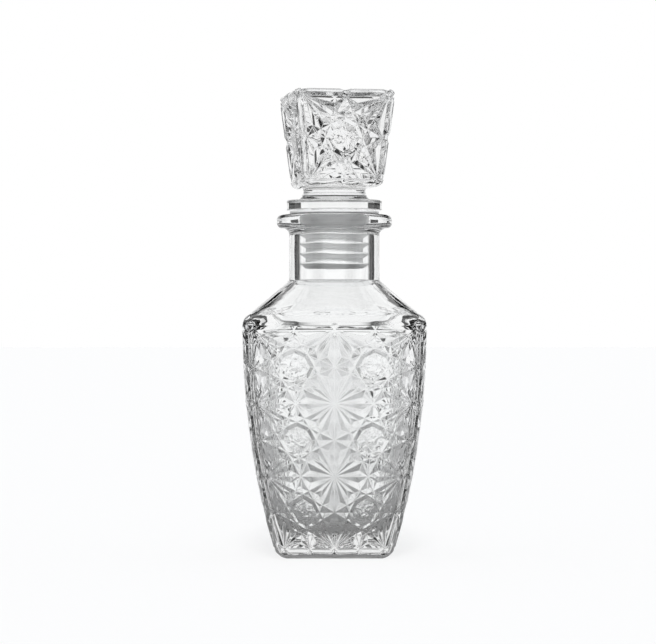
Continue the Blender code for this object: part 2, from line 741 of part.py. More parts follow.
def make_parts():
    """Builds the three pieces and the tools that shape them."""
    parts = collection_named("Pressed glass mini decanter")
    tools = collection_named("Cutters")
    glass = surface_material("clear pressed glass", (0.96, 0.97, 0.97), 0.03, 1.0, 1.52)
    stopper_glass = surface_material("clear stopper glass", (0.96, 0.97, 0.97), 0.03, 1.0, 1.52)
    soft_plastic = surface_material("translucent sealing plastic", (0.78, 0.79, 0.79), 0.42, 0.25, 1.50)
    glass_sharp = math.radians(14.0)
    plain_sharp = math.radians(35.0)

    neck = turned(
        "neck and lip blank",
        rounded_path(
            [
                (0.0, MOUTH, 0.0),
                (LIP_RADIUS, MOUTH, LIP_EDGE_RADIUS),
                (LIP_RADIUS, LIP_FOOT, LIP_EDGE_RADIUS),
                (NECK_RADIUS, LIP_FOOT, LIP_FILLET),
                (NECK_RADIUS, NECK_FOOT - SHOULDER_RISE / 2, 0.0),
                (0.0, NECK_FOOT - SHOULDER_RISE / 2, 0.0),
            ],
            ARC_STEPS,
        ),
        False,
        tools,
    )
    cavity = object_from(make_cavity(), "cavity and bore", tools)
    bottle = object_from(make_body(), "glass_bottle", parts)
    boolean(bottle, neck, "UNION")
    boolean(bottle, cavity, "DIFFERENCE")
    finish_part(bottle, glass, glass_sharp)

    shank = turned(
        "stopper shank blank",
        rounded_path(
            [
                (0.0, HEAD_FOOT + STEM_LENGTH, 0.0),
                (STEM_RADIUS, HEAD_FOOT + STEM_LENGTH, 0.0),
                (STEM_RADIUS, DISC_TOP, STEM_FILLET),
                (DISC_RADIUS, DISC_TOP, DISC_EDGE_RADIUS),
                (DISC_RADIUS, DISC_FOOT, DISC_EDGE_RADIUS),
                (PLUG_RADIUS, DISC_FOOT, 0.0),
                (PLUG_RADIUS, PLUG_FOOT, PLUG_END_RADIUS),
                (0.0, PLUG_FOOT, 0.0),
            ],
            ARC_STEPS,
        ),
        False,
        tools,
    )
    stopper = object_from(make_head(), "glass_stopper", parts)
    boolean(stopper, shank, "UNION")
    finish_part(stopper, stopper_glass, glass_sharp)

    outline = [
        (SLEEVE_BORE, FLANGE_TOP, 0.0),
        (SLEEVE_FLANGE_RADIUS, FLANGE_TOP, 0.0),
        (SLEEVE_FLANGE_RADIUS, FLANGE_FOOT, 0.0),
        (SLEEVE_RADIUS, FLANGE_FOOT, 0.0),
    ]
    for fin in range(FIN_COUNT - 1, -1, -1):
        root = SLEEVE_FOOT + fin * FIN_PITCH
        tip = root + FIN_LIFT
        outline.append((SLEEVE_RADIUS, root + FIN_THICKNESS, 0.0))
        outline.append((FIN_RADIUS, tip + FIN_THICKNESS, 0.0))
        outline.append((FIN_RADIUS, tip, 0.0))
        outline.append((SLEEVE_RADIUS, root, 0.0))
    outline.append((SLEEVE_BORE, SLEEVE_FOOT, 0.0))
    sleeve = turned("sealing_sleeve", rounded_path(outline, ARC_STEPS), True, parts)
    finish_part(sleeve, soft_plastic, plain_sharp)

    for tool in (neck, cavity, shank):
        make_cutter(tool)

    # The stopper's head stands a little turned in the neck. The sleeve lifts out of the neck on this axis,
    # and the stopper turns in the sleeve on it.
    lift_axis = bpy.data.objects.new("lift and turn axis", None)
    lift_axis.empty_display_type = "SINGLE_ARROW"
    lift_axis.empty_display_size = HEAD_HEIGHT
    lift_axis.location = (0.0, 0.0, MOUTH)
    parts.objects.link(lift_axis)
    for part in (sleeve, stopper, shank):
        part.data.transform(Matrix.Translation((0.0, 0.0, -MOUTH)))
        part.parent = lift_axis
    stopper.rotation_euler = (0.0, 0.0, HEAD_TURN)
    shank.rotation_euler = (0.0, 0.0, HEAD_TURN)


clear_scene()
make_parts()
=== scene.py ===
"""Looks of the pressed-glass mini decanter: clear star-cut glass, a faceted stopper and its milky seal."""

import math

import bmesh
import bpy
from mathutils import Matrix, Vector, noise


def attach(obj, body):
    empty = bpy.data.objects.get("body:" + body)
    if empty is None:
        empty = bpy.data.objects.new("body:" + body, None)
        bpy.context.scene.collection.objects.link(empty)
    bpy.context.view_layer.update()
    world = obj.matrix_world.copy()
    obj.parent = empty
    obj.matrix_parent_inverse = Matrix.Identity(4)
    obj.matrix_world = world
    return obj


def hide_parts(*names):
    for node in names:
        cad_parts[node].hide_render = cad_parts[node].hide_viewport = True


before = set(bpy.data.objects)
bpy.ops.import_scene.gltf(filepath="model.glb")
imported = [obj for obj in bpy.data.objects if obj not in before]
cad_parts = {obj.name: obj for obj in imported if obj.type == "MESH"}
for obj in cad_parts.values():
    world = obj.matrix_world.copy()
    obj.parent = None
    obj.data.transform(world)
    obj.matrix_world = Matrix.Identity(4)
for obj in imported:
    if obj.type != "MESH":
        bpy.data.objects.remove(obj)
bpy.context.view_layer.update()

MM = 0.001

# Camera: level, at the height of the body's shoulder edge.
PHOTO_SCALE = 0.2924 * MM
CAMERA_DISTANCE = 731.0 * MM
CAMERA_HEIGHT = 67.9 * MM
CAMERA_SIDE = -1.85 * MM
CAMERA_NEAREST = 10.0 * MM
SENSOR_WIDTH = 36.0
FRAME_WIDTH = 656

# Bottle, outside. These are the solid's own sizes.
BODY_HALF_WIDTH = 26.3 * MM
BODY_ARC_RADIUS = 236.0 * MM
BODY_CORNER_RADIUS = 3.3 * MM
FOOT_EDGE_RADIUS = 3.4 * MM
FOOT_RING_WIDTH = 3.2 * MM
FOOT_RECESS_DEPTH = 0.7 * MM
FOOT_RECESS_ROUND = 0.25 * MM
SHOULDER_EDGE_RADIUS = 4.2 * MM
SHOULDER_RISE = 11.2 * MM
SHOULDER_ROUNDING = 2.2
NECK_RADIUS = 13.2 * MM
NECK_LENGTH = 15.2 * MM
LIP_RADIUS = 16.8 * MM
LIP_THICKNESS = 3.9 * MM
LIP_EDGE_RADIUS = 1.4 * MM
LIP_FILLET = 2.0 * MM
BORE_RADIUS = 10.4 * MM
MOUTH_CHAMFER = 0.6 * MM

# Bottle, inside. Its walls are a little thinner and rounder than the solid's, and never quite true.
BORE_FOOT_BELOW_SLEEVE = 2.0 * MM
BODY_WALL = 2.8 * MM
FLOOR_THICKNESS = 7.5 * MM
INNER_CORNER_RADIUS = 7.0 * MM
INNER_FLOOR_RADIUS = 5.5 * MM
INNER_SHOULDER_RADIUS = 8.0 * MM
WALL_RIPPLE_SIZE = 9.0 * MM
WALL_RIPPLE_DEPTH = 0.16 * MM
WALL_RIPPLE_START = 3.0 * MM
FLOOR_RIPPLE_SIZE = 7.0 * MM
FLOOR_RIPPLE_DEPTH = 0.12 * MM

# Pressed pattern. Shares of depth are of its own depth, and the other shares are of a cell. The lowest row
# is cut deeper, fully so below LOW_FULL_ROW and not at all above LOW_END_ROW, both in rows from the foot.
CELLS_ACROSS = 2
CELLS_UP = 3
PATTERN_FOOT = 3.3 * MM
PATTERN_HEIGHT = 62.3 * MM
PATTERN_DEPTH = 0.75 * MM
PATTERN_BORDER = 1.3 * MM
GROOVE_HALF_SHARE = 0.0854
BUTTON_EDGE_SHARE = 0.05
SHORT_GROOVE_SHARE = 0.19
SHORT_GROOVE_RISE = 0.12
NOTCH_HALF_SHARE = 0.062
NOTCH_DEPTH_SHARE = 0.55
RIM_DEPTH_SHARE = 0.5
STAR_DEPTH_SHARE = 0.3
CROSSING_DEPTH_SHARE = 0.7
LOW_DEEPENING = 0.5
LOW_FULL_ROW = 0.3
LOW_END_ROW = 0.8
NOTCH_RUN = 1.5 * MM

# Stopper. Its head is cut deeper than the solid's, with flatter buttons, and its disc has sharper edges.
HEAD_HEIGHT = 28.0 * MM
HEAD_FOOT_HALF_WIDTH = 11.8 * MM
HEAD_TOP_HALF_WIDTH = 15.1 * MM
HEAD_CORNER_RADIUS = 2.4 * MM
HEAD_PATTERN_DEPTH = 1.5 * MM
HEAD_BUTTON_RISE = 0.55
HEAD_BORDER = 1.0 * MM
HEAD_FOOT_BORDER = 0.3 * MM
HEAD_FOOT_RADIUS = 1.8 * MM
HEAD_TURN = math.radians(10.5)
HEAD_OFFSET = 0.7 * MM
STEM_RADIUS = 9.2 * MM
STEM_LENGTH = 3.8 * MM
STEM_HEAD_FLARE = 0.9 * MM
STEM_HEAD_FILLET = 0.6 * MM
STEM_DISC_FILLET = 2.52 * MM
DISC_RADIUS = 13.9 * MM
DISC_THICKNESS = 2.8 * MM
DISC_EDGE_RADIUS = 0.2 * MM
PLUG_RADIUS = 6.8 * MM
PLUG_FILLET = 0.4 * MM
PLUG_END_RADIUS = 1.0 * MM
PLUG_SHORT_OF_SLEEVE = 1.0 * MM

# Sealing sleeve, with a plain collar inside the lip and wavy fins below it.
SLEEVE_WALL = 1.3 * MM
SLEEVE_DEPTH = 15.6 * MM
SLEEVE_FLANGE_RADIUS = 13.0 * MM
SLEEVE_FLANGE_THICKNESS = 0.8 * MM
FIN_COUNT = 5
FIN_PITCH = 2.9 * MM
FIN_THICKNESS = 0.55 * MM
FIN_LIFT = 1.1 * MM
FIN_CLEARANCE = 0.32 * MM
FIN_WAVE_SIZE = 9.0 * MM
FIN_WAVE_HEIGHT = 0.45 * MM
FIN_WAVE_SLANT = 0.6
COLLAR_DEPTH = 3.2 * MM
SLEEVE_EDGE = 0.12 * MM

# Space between pieces that touch.
FIT_GAP = 0.3 * MM

# Fineness of the forms. A facet keeps a flat middle and turns into its neighbours over FACET_EDGE. A margin
# is the distance from an edge to the points that keep it crisp, and a run is the longest distance between
# two rows of points.
FACET_EDGE = 0.16 * MM
CORNER_STEPS = 9
ROUND_STEPS = 6
SLEEVE_ROUND_STEPS = 3
SIDE_STEPS = 34
SLEEVE_STEPS = 96
FLOOR_SHARES = (0.97, 0.85, 0.65, 0.45, 0.25, 0.1)
HEAD_FOOT_SHARES = (0.15, 0.6, 1.0)
CORNER_MARGIN = 0.2 * MM
SHOULDER_MARGIN = 0.15 * MM
TURNED_MARGIN = 0.2 * MM
INNER_MARGIN = 0.3 * MM
STOPPER_MARGIN = 0.15 * MM
SLEEVE_MARGIN = 0.1 * MM
TURNED_RUN = 1.5 * MM
SHOULDER_RUN = 1.2 * MM
FOOT_RUN = 3.0 * MM
SLEEVE_RUN = 2.0 * MM

# Closest distances, in metres for the meshes and in cells for the flat sheet.
WELD = 1e-7
SHEET_WELD = 1e-5
SHEET_NEAR = 1e-3
EDGE_REACH = 1e-4

# Set. White panels stand round the horizon, with four upright dark gaps between them. It is dark above the
# panels, and a white panel closes the top. Heights are sines of the angle above the horizon. A gap reaches
# from GAP_FROM to GAP_TO sideways, in shares of the distance.
HORIZON_SINE = 0.235
DARK_SINE = 0.32
TOP_FROM = 0.44
TOP_TO = 0.5
GAP_FROM = 0.56
GAP_TO = 0.91
GAP_EDGE = 0.03
GAP_LEVEL = 0.18
GAP_END = 0.36
GAP_TONE = 0.03
AMBIENT = 0.35
AMBIENT_COLOUR = (0.95, 0.97, 1.0, 1.0)
WHITE = (1.0, 1.0, 1.0, 1.0)

# Floor. For rays through glass and mirrored rays its tone rises with a power of the distance from the
# object, in metres. That is painted shade: a painted shadow pool round the object, which camera rays don't
# see.
FLOOR_SIZE = 6.0
FLOOR_COLOUR = 0.65
FLOOR_GLOW = 0.27
FLOOR_SHADE_POOL_SCALE = 1.22
FLOOR_SHADE_POOL_POWER = 0.49
FLOOR_SHADE_POOL_DARKEST = 0.28

# Lamp. Angles are in degrees.
KEY_POWER = 3.2
KEY_ANGLE = 12.0
KEY_HEIGHT = 48.0

# Glass. The inner wall is worn in the middle of each side and clearer towards the corners. CORNER_FROM and
# CORNER_TO say where that begins and ends, with 0 in the middle of a side and 1 on the corner's line. The
# recess of the foot has FOOT_RIPPLE of a button's ripple. Grain is the number of waves in a metre.
GLASS_TINT = (0.995, 1.0, 1.0, 1.0)
GLASS_IOR = 1.51
GLASS_DENSITY = 3.0
SHADOW_CLEAR = 0.98
INNER_ROUGHNESS = 0.24
CORNER_CLEARNESS = 0.75
CORNER_FROM = 0.15
CORNER_TO = 0.5
GLASS_RIPPLE = 0.12
GLASS_RIPPLE_HEIGHT = 0.4 * MM
GLASS_RIPPLE_GRAIN = 160.0
BUTTON_RIPPLE = 0.5
BUTTON_RIPPLE_HEIGHT = 0.9 * MM
BUTTON_RIPPLE_GRAIN = 420.0
BUTTON_RIPPLE_TWIST = 1.2
FOOT_RIPPLE = 0.5

# Seal's plastic.
PLASTIC_ROUGHNESS = 0.38
PLASTIC_IOR = 1.5
PLASTIC_TRANSMISSION = 0.15
PLASTIC_DARK = (0.95, 0.96, 0.96, 1.0)
PLASTIC_CLOUD_FROM = 0.3
PLASTIC_CLOUD_TO = 0.7
PLASTIC_CLOUD_GRAIN = 260.0
PLASTIC_RELIEF = 0.15
PLASTIC_RELIEF_HEIGHT = 0.2 * MM

# Heights and radii that follow from the values above.
PATTERN_TOP = PATTERN_FOOT + PATTERN_HEIGHT
SHOULDER_FOOT = PATTERN_TOP + PATTERN_BORDER
SHOULDER_TURN = math.atan2(BODY_HALF_WIDTH - NECK_RADIUS, SHOULDER_RISE)
SHOULDER_CORNER = SHOULDER_FOOT + SHOULDER_EDGE_RADIUS * math.tan(SHOULDER_TURN / 2)
NECK_FOOT = SHOULDER_CORNER + SHOULDER_RISE
LIP_FOOT = NECK_FOOT + NECK_LENGTH
MOUTH = LIP_FOOT + LIP_THICKNESS
SLEEVE_BORE = PLUG_RADIUS + FIT_GAP
SLEEVE_RADIUS = SLEEVE_BORE + SLEEVE_WALL
SLEEVE_FOOT = MOUTH - SLEEVE_DEPTH
FLANGE_FOOT = MOUTH + FIT_GAP
FLANGE_TOP = FLANGE_FOOT + SLEEVE_FLANGE_THICKNESS
FIN_RADIUS = BORE_RADIUS - FIN_CLEARANCE
DISC_FOOT = FLANGE_TOP + FIT_GAP
DISC_TOP = DISC_FOOT + DISC_THICKNESS
HEAD_FOOT = DISC_TOP + STEM_LENGTH
HEAD_TOP = HEAD_FOOT + HEAD_HEIGHT
PLUG_FOOT = SLEEVE_FOOT + PLUG_SHORT_OF_SLEEVE
BORE_FOOT = SLEEVE_FOOT - BORE_FOOT_BELOW_SLEEVE


def rounded_path(corners, steps):
    """Points of a path whose corners, given as (position, height, radius), are rounded by arcs."""
    points = []
    for index, (across, height, radius) in enumerate(corners):
        here = Vector((across, height))
        if radius <= 0.0 or index in (0, len(corners) - 1):
            points.append(here)
            continue
        back = (Vector(corners[index - 1][:2]) - here).normalized()
        onward = (Vector(corners[index + 1][:2]) - here).normalized()
        half_angle = back.angle(onward) / 2
        centre = here + (back + onward).normalized() * (radius / math.sin(half_angle))
        start = here + back * (radius / math.tan(half_angle)) - centre
        end = here + onward * (radius / math.tan(half_angle)) - centre
        swing = start.angle_signed(end)
        for step in range(steps + 1):
            turn = Matrix.Rotation(-swing * step / steps, 2)
            points.append(centre + turn @ start)
    return points


def fine_path(points, longest, margin):
    """The same path with extra points on long straight runs, close to their ends and evenly between."""
    made = [points[0]]
    for here, there in zip(points, points[1:], strict=False):
        run = (there - here).length
        if run > 3 * margin:
            along = (there - here) / run
            made.append(here + along * margin)
            inner = run - 2 * margin
            count = max(1, math.ceil(inner / longest))
            for step in range(1, count):
                made.append(here + along * (margin + inner * step / count))
            made.append(there - along * margin)
        made.append(there)
    return made


def inscribed_circle(corners):
    """Centre and radius of the circle that touches a polygon's sides, from two corners' bisectors."""
    first, second, third, last = corners[0], corners[1], corners[2], corners[-1]
    side = (second - first).normalized()
    bisector = (side + (last - first).normalized()).normalized()
    other = ((first - second).normalized() + (third - second).normalized()).normalized()
    gap = second - first
    reach = (gap.x * other.y - gap.y * other.x) / (bisector.x * other.y - bisector.y * other.x)
    centre = first + bisector * reach
    offset = centre - first
    return centre, abs(offset.x * side.y - offset.y * side.x)


def score(bm, point, slope_x, slope_y):
    """Scores a straight groove line across the whole flat sheet."""
    everything = bm.verts[:] + bm.edges[:] + bm.faces[:]
    bmesh.ops.bisect_plane(
        bm, geom=everything, dist=SHEET_WELD, plane_co=point, plane_no=(slope_y, -slope_x, 0.0)
    )


def is_star(vert):
    """Whether a crossing of the sheet is the centre of a star, which is a corner of a cell."""
    return (vert.co.xy - Vector((round(vert.co.x), round(vert.co.y)))).length < SHEET_NEAR


def is_crossing(vert):
    """Whether a point of the sheet is halfway between two stars, where grooves cross."""
    doubled = 2 * vert.co.xy
    return (doubled - Vector((round(doubled.x), round(doubled.y)))).length < 2 * SHEET_NEAR


def raise_peak(bm, face, centre, height):
    """Makes a face into facets that meet in one peak."""
    peak = bmesh.ops.poke(bm, faces=[face])["verts"][0]
    peak.co = (centre.x, centre.y, height)


def raise_star_kite(bm, face, star):
    """Cuts the short groove that runs from a star into a kite, and raises a peak on each side of it."""
    corners = [vert.co.xy for vert in face.verts]
    top, _ = inscribed_circle(corners)
    ordered = face.verts[:]
    start = ordered.index(star)
    far = ordered[(start + 2) % len(ordered)]
    halves = []
    for side in (ordered[(start + 1) % len(ordered)], ordered[start - 1]):
        halves.append(inscribed_circle([star.co.xy, side.co.xy, far.co.xy]))
    bmesh.utils.face_split(face, star, far)
    diagonal = bm.edges.get((star, far))
    rest, tip = bmesh.utils.edge_split(diagonal, star, 0.5)
    upper = rest if far in rest.verts else bm.edges.get((tip, far))
    _, crown = bmesh.utils.edge_split(upper, tip, 0.5)
    along = (far.co.xy - star.co.xy).normalized()
    groove_end = star.co.xy + along * (SHORT_GROOVE_SHARE * math.sqrt(2.0))
    tip.co = (groove_end.x, groove_end.y, SHORT_GROOVE_RISE)
    crown.co = (top.x, top.y, 1.0)
    for half in list(tip.link_faces):
        middle = half.calc_center_median().xy
        centre, radius = min(halves, key=lambda circle: (circle[0] - middle).length)
        raise_peak(bm, half, centre, min(1.0, radius / GROOVE_HALF_SHARE))


def star_sheet(across, up, button_rise=1.0):
    """The pattern on a flat sheet of across by up cells, from height 0 in a groove to 1 on the surface."""
    bm = bmesh.new()
    bmesh.ops.create_grid(bm, x_segments=across, y_segments=up, size=0.5)
    bmesh.ops.scale(bm, vec=(across, up, 1.0), verts=bm.verts)
    bmesh.ops.translate(bm, vec=(across / 2, up / 2, 0.0), verts=bm.verts)
    for half_step in range(-across, 2 * up + across + 1):
        score(bm, (0.0, half_step / 2, 0.0), 2.0, 1.0)
        score(bm, (0.0, half_step / 2, 0.0), 2.0, -1.0)
    for half_step in range(-up, 2 * across + up + 1):
        score(bm, (half_step / 2, 0.0, 0.0), 1.0, 2.0)
        score(bm, (half_step / 2, 0.0, 0.0), -1.0, 2.0)
    for face in list(bm.faces):
        if len(face.verts) > 4:
            bmesh.ops.inset_individual(
                bm, faces=[face], thickness=BUTTON_EDGE_SHARE, depth=button_rise, use_even_offset=True
            )
            continue
        stars = [vert for vert in face.verts if is_star(vert)]
        if len(face.verts) == 4 and stars:
            raise_star_kite(bm, face, stars[0])
            continue
        centre, radius = inscribed_circle([vert.co.xy for vert in face.verts])
        raise_peak(bm, face, centre, min(1.0, radius / GROOVE_HALF_SHARE))
    return bm


def notch_left(run):
    """The share of a notch's depth that is left where it has run some way past the pattern."""
    return max(0.0, 1.0 - run / NOTCH_RUN)


class Block:
    """A square block with rounded corners whose sides carry the pattern."""

    def __init__(self, half_at, radius_at, across, up, foot, top, depth, border):
        self.half_at = half_at
        self.radius_at = radius_at
        self.across = across
        self.up = up
        self.foot = foot
        self.top = top
        self.depth = depth
        self.rim = depth * RIM_DEPTH_SHARE
        self.border = border
        self.button_rise = 1.0
        self.low_deepening = 0.0
        self.bm = bmesh.new()
        self.crisp = self.bm.faces.layers.int.new("crisp")
        self.matte = self.bm.faces.layers.float.new("matte")
        self.button = self.bm.faces.layers.float.new("button")
        self.surface = 0.0
        self.pressed = 0.0
        self.shift = Vector((0.0, 0.0, 0.0))
        radius = radius_at(top)
        first = math.asin(min(border / radius, 0.6))
        beside = first + min(CORNER_MARGIN / radius, (math.pi / 4 - first) / 3)
        spread = math.pi / 2 - 2 * beside
        inner = CORNER_STEPS - 3
        middle = [beside + spread * step / inner for step in range(inner + 1)]
        self.angles = [first, *middle, math.pi / 2 - first]
        self.fading = [notch_left((angle - first) * radius) for angle in self.angles]
        for index in range(CORNER_STEPS // 2 + 1):
            self.fading[-1 - index] = self.fading[index]

    def height(self, row):
        """Height of a row of the pattern, counted in cells."""
        return self.foot + (self.top - self.foot) * row / self.up

    def sunk(self, vert):
        """How deep a point of the flat sheet lies. Grooves are shallower at edges and where they meet."""
        inside = min(vert.co.x, self.across - vert.co.x, vert.co.y, self.up - vert.co.y)
        depth = self.depth if inside > EDGE_REACH else self.rim
        if is_star(vert):
            depth *= STAR_DEPTH_SHARE
        elif is_crossing(vert):
            depth *= CROSSING_DEPTH_SHARE
        low = min(1.0, max(0.0, (LOW_END_ROW - vert.co.y) / (LOW_END_ROW - LOW_FULL_ROW)))
        return (1.0 - vert.co.z) * depth * (1.0 + self.low_deepening * low)

    def flat(self, quarter, column, z, depth):
        """A point of a side's flat, with its column counted in cells from its left corner."""
        half = self.half_at(z)
        reach = half - self.radius_at(z)
        x = (2 * column / self.across - 1.0) * reach
        return Matrix.Rotation(quarter * math.pi / 2, 3, "Z") @ Vector((x, depth - half, z))

    def corner(self, quarter, angle, z, depth):
        """A point of the rounded corner that follows a side's right end."""
        radius = self.radius_at(z)
        reach = self.half_at(z) - radius
        x = reach + (radius - depth) * math.sin(angle)
        y = -reach - (radius - depth) * math.cos(angle)
        return Matrix.Rotation(quarter * math.pi / 2, 3, "Z") @ Vector((x, y, z))

    def notched(self, cells):
        """Positions at each half cell and just beside it, with whether a groove runs out there."""
        made = []
        for half_step in range(2 * cells + 1):
            here = half_step / 2
            if half_step > 0:
                made.append((here - NOTCH_HALF_SHARE, False))
            made.append((here, True))
            if half_step < 2 * cells:
                made.append((here + NOTCH_HALF_SHARE, False))
        return made

    def ring(self, z, fading):
        """All points round the block at one height. Fading says how deep the grooves still are there."""
        points = []
        for quarter in range(4):
            for column, groove in self.notched(self.across):
                depth = self.depth * NOTCH_DEPTH_SHARE * fading if groove else 0.0
                points.append(self.flat(quarter, column, z, depth))
            for angle in self.angles:
                points.append(self.corner(quarter, angle, z, 0.0))
        return points

    def face(self, points, crisp=False, button=False):
        """Adds one face, and marks whether it is a cut facet, worn, or rippled as a button's flat is."""
        made = self.bm.faces.new([self.bm.verts.new(point + self.shift) for point in points])
        made[self.crisp] = 1 if crisp else 0
        made[self.matte] = self.surface
        made[self.button] = 1.0 if button else self.pressed

    def clear_corners(self):
        """Inside, the corners are less worn than the middles of the sides."""
        for face in self.bm.faces:
            spot = face.calc_center_median()
            near, far = sorted((abs(spot.x), abs(spot.y)))
            share = min(1.0, max(0.0, (near / max(far, WELD) - CORNER_FROM) / (CORNER_TO - CORNER_FROM)))
            face[self.matte] *= 1.0 - CORNER_CLEARNESS * share

    def strip(self, low, high):
        """Adds the faces between two rings of points."""
        count = len(low)
        for index in range(count):
            after = (index + 1) % count
            self.face((low[index], low[after], high[after], high[index]))

    def panels(self):
        """Lays the flat pattern on the four sides."""
        sheet = star_sheet(self.across, self.up, self.button_rise)
        for quarter in range(4):
            for facet in sheet.faces:
                points = []
                for vert in facet.verts:
                    depth = self.sunk(vert)
                    points.append(self.flat(quarter, vert.co.x, self.height(vert.co.y), depth))
                self.face(points, True, len(points) > 4)
        sheet.free()

    def edge_strip(self, valley, crest):
        """Joins the groove along a panel's edge to the notched line beside it, half a cell at a time."""
        for step in range(len(valley) - 1):
            low, high = 3 * step, 3 * step + 3
            self.face((valley[step], crest[low], crest[low + 1]), True)
            self.face((valley[step], crest[low + 1], crest[high - 1], valley[step + 1]), True)
            self.face((valley[step + 1], crest[high - 1], crest[high]), True)

    def corner_bands(self):
        """Fills the rounded corners beside the panels, with the grooves running out on to them."""
        rows = self.notched(self.up)
        for quarter in range(4):
            lines = []
            for angle, fading in zip(self.angles, self.fading, strict=True):
                line = []
                for row, groove in rows:
                    depth = self.depth * NOTCH_DEPTH_SHARE * fading if groove else 0.0
                    line.append(self.corner(quarter, angle, self.height(row), depth))
                lines.append(line)
            for left, right in zip(lines, lines[1:], strict=False):
                for index in range(len(rows) - 1):
                    self.face((left[index], right[index], right[index + 1], left[index + 1]))
            valleys = []
            for side, column in ((quarter, self.across), (quarter + 1, 0)):
                valley = []
                for half_step in range(2 * self.up + 1):
                    valley.append(self.flat(side, column, self.height(half_step / 2), self.rim))
                valleys.append(valley)
            self.edge_strip(valleys[0], lines[0])
            self.edge_strip(valleys[1], lines[-1])

    def border_ring(self, row, z):
        """Joins the panels' foot or top groove, at a row, to the ring beside it, and returns that ring."""
        ring = self.ring(z, 1.0)
        flats = len(self.notched(self.across))
        per_quarter = flats + len(self.angles)
        level = self.height(row)
        notch = self.depth * NOTCH_DEPTH_SHARE
        for quarter in range(4):
            start = quarter * per_quarter
            valley = []
            for half_step in range(2 * self.across + 1):
                valley.append(self.flat(quarter, half_step / 2, level, self.rim))
            self.edge_strip(valley, ring[start : start + flats])
            inner = [valley[-1]]
            for angle, fading in zip(self.angles, self.fading, strict=True):
                inner.append(self.corner(quarter, angle, level, notch * fading))
            inner.append(self.flat(quarter + 1, 0.0, level, self.rim))
            around = [ring[(start + flats - 1 + step) % len(ring)] for step in range(len(inner))]
            for step in range(len(inner) - 1):
                crisp = step in (0, len(inner) - 2)
                self.face((inner[step], inner[step + 1], around[step + 1], around[step]), crisp)
        return ring

    def weld(self, facet_edge):
        """Welds what the strips share, turns faces outwards and gives each cut facet its soft edge."""
        bm = self.bm
        bmesh.ops.remove_doubles(bm, verts=bm.verts, dist=WELD)
        bmesh.ops.dissolve_degenerate(bm, edges=bm.edges, dist=WELD)
        bmesh.ops.recalc_face_normals(bm, faces=bm.faces)
        cut = [face for face in bm.faces if face[self.crisp]]
        bmesh.ops.inset_individual(bm, faces=cut, thickness=facet_edge, depth=0.0, use_even_offset=True)
        return bm


def foot_inset(z, radius):
    """How far a rounded foot edge draws in at a height above the foot."""
    if z >= radius:
        return 0.0
    return radius - math.sqrt(radius * radius - (radius - max(z, 0.0)) ** 2)


def arc_half_width(z):
    """Half the body's width where its long arc stands at a height."""
    below = max(SHOULDER_FOOT - z, 0.0)
    return BODY_HALF_WIDTH - BODY_ARC_RADIUS + math.sqrt(BODY_ARC_RADIUS**2 - below**2)


def body_half_width(z):
    """Half the body's width with its rounded foot."""
    return arc_half_width(z) - foot_inset(z, FOOT_EDGE_RADIUS)


def body_corner_radius(z):
    """Radius of the body's corners, which draw in with the foot's rounded edge."""
    return max(BODY_CORNER_RADIUS - foot_inset(z, FOOT_EDGE_RADIUS), BODY_CORNER_RADIUS / 6)


def circle(radius, z, count, first_angle):
    """Evenly spaced points of a circle about Z."""
    points = []
    for index in range(count):
        angle = first_angle + math.tau * index / count
        points.append(Vector((radius * math.cos(angle), radius * math.sin(angle), z)))
    return points


def matching_angle(count, flats):
    """Angle of a circle's first point that sets its points beside those of a block's ring."""
    return -math.pi / 2 - math.tau / count * (flats - 1) / 2


def blend_ring(ring, target, share, z, rounding=1.0):
    """A ring part of the way from a square section to a round one. It may round off ahead of its width."""
    half = max(point.x for point in ring)
    radius = target[0].xy.length
    width = half + (radius - half) * share
    roundness = 1.0 - max(1.0 - share, 0.0) ** rounding
    points = []
    for here, there in zip(ring, target, strict=True):
        mixed = (here * (width / half)).lerp(there * (width / radius), roundness)
        points.append(Vector((mixed.x, mixed.y, z)))
    return points


def rounded_square(half, radius, z, flat_steps, arc_steps):
    """Points of a square with rounded corners, from the left end of its front side."""
    reach = half - radius
    points = []
    for quarter in range(4):
        turn = Matrix.Rotation(quarter * math.pi / 2, 3, "Z")
        for step in range(flat_steps):
            points.append(turn @ Vector((-reach + 2 * reach * step / flat_steps, -half, z)))
        for step in range(arc_steps):
            angle = math.pi / 2 * step / arc_steps
            x = reach + radius * math.sin(angle)
            y = -reach - radius * math.cos(angle)
            points.append(turn @ Vector((x, y, z)))
    return points


def rippled(points, size, amount):
    """Moves points in and out a little, as the inside of moulded glass is never quite true."""
    made = []
    for point in points:
        push = noise.noise(point / size + Vector((3.7, 1.9, 0.4))) * amount
        outward = Vector((point.x, point.y, 0.0))
        if outward.length > WELD:
            outward.normalize()
        made.append(point + outward * push)
    return made


